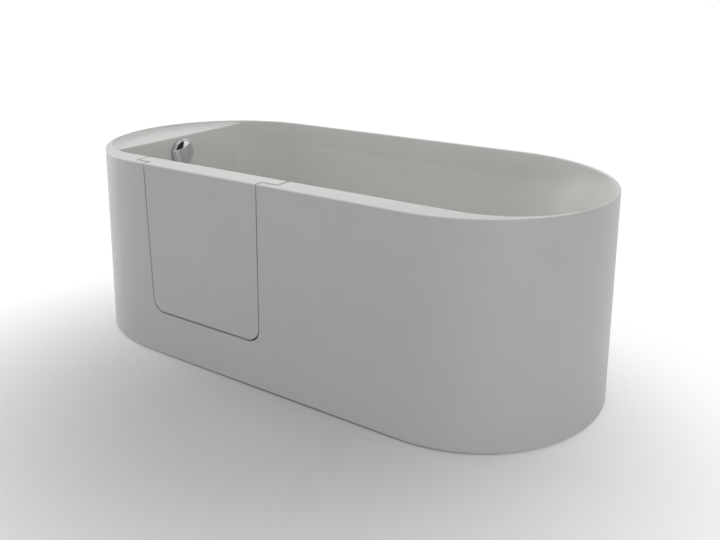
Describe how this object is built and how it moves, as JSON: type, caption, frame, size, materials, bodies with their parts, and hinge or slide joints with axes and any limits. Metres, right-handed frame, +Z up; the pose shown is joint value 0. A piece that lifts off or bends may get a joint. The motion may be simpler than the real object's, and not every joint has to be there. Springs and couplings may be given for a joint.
{
  "type": "walk-in bathtub",
  "caption": "Free-standing bathtub with half-round ends, a stepped inward-opening plug door in the near wall, a sunk deck, a round overflow knob and a sloping backrest.",
  "frame": {"origin": "centre of the tub's outline on the floor", "axes": "+X toward the backrest end, -Y toward the door side, +Z up"},
  "size_m": [1.6996, 0.8, 0.6],
  "materials": {
    "white": "satin off-white acrylic",
    "white_inner": "satin off-white moulding",
    "plywood": "sealed plywood",
    "steel": "brushed stainless steel",
    "chrome": "polished chrome",
    "rubber": "matt black rubber",
    "pipe_grey": "grey moulded plastic"
  },
  "bodies": {
    "tub": {"basin": "white", "skirt": "white", "door_frame": "white_inner", "base_board": "plywood", "base_frame": "steel", "foot_pads": "rubber", "foot_studs": "steel", "foot_nuts": "steel", "hinge_leaf_frame_lower": "steel", "hinge_leaf_frame_upper": "steel", "hinge_pin_lower": "steel", "hinge_pin_upper": "steel", "hinge_screws_frame": "steel", "latch_keeper": "steel", "keeper_screws": "steel", "waste_flange": "chrome", "waste_gasket": "rubber", "waste_body": "pipe_grey", "overflow_plate": "chrome", "overflow_gasket": "rubber", "overflow_body": "pipe_grey", "overflow_pipe": "pipe_grey", "control_cable": "rubber"},
    "door": {"door_shell": "white", "door_liner": "white_inner", "door_seal": "rubber", "hinge_bar": "steel", "hinge_leaf_door_lower": "steel", "hinge_leaf_door_upper": "steel", "hinge_screws_door": "steel", "latch_case": "steel", "latch_rosette": "chrome", "bolt_guide": "steel"},
    "latch_handle": {"latch_handle": "chrome", "latch_spindle": "steel"},
    "latch_bolt": {"latch_bolt": "steel"},
    "overflow_knob": {"overflow_knob": "chrome", "overflow_spindle": "steel"},
    "plug": {"plug_cap": "chrome", "plug_seal": "rubber", "plug_stem": "steel"}
  },
  "joints": [
    {"name": "door_swing", "type": "hinge", "parent": "tub", "child": "door", "pos_m": [-0.469, -0.316, 0], "axis": [0, 0, 1], "range_deg": [0, 90]},
    {"name": "latch_turn", "type": "hinge", "parent": "door", "child": "latch_handle", "pos_m": [0.0005, -0.324, 0.43], "axis": [0, -1, 0], "range_deg": [0, 90]},
    {"name": "bolt_slide", "type": "slide", "parent": "door", "child": "latch_bolt", "axis": [1, 0, 0], "range_m": [0, 0.016]},
    {"name": "knob_turn", "type": "hinge", "parent": "tub", "child": "overflow_knob", "pos_m": [-0.685, 0.006, 0.53], "axis": [1, 0, 0], "range_deg": [0, 90]},
    {"name": "plug_lift", "type": "slide", "parent": "tub", "child": "plug", "axis": [0, 0, 1], "range_m": [0, 0.012]}
  ],
  "couplings": [
    {"joint": "bolt_slide", "follows": "latch_turn", "m_per_rad": 0.010185},
    {"joint": "plug_lift", "follows": "knob_turn", "m_per_rad": 0.007639}
  ]
}
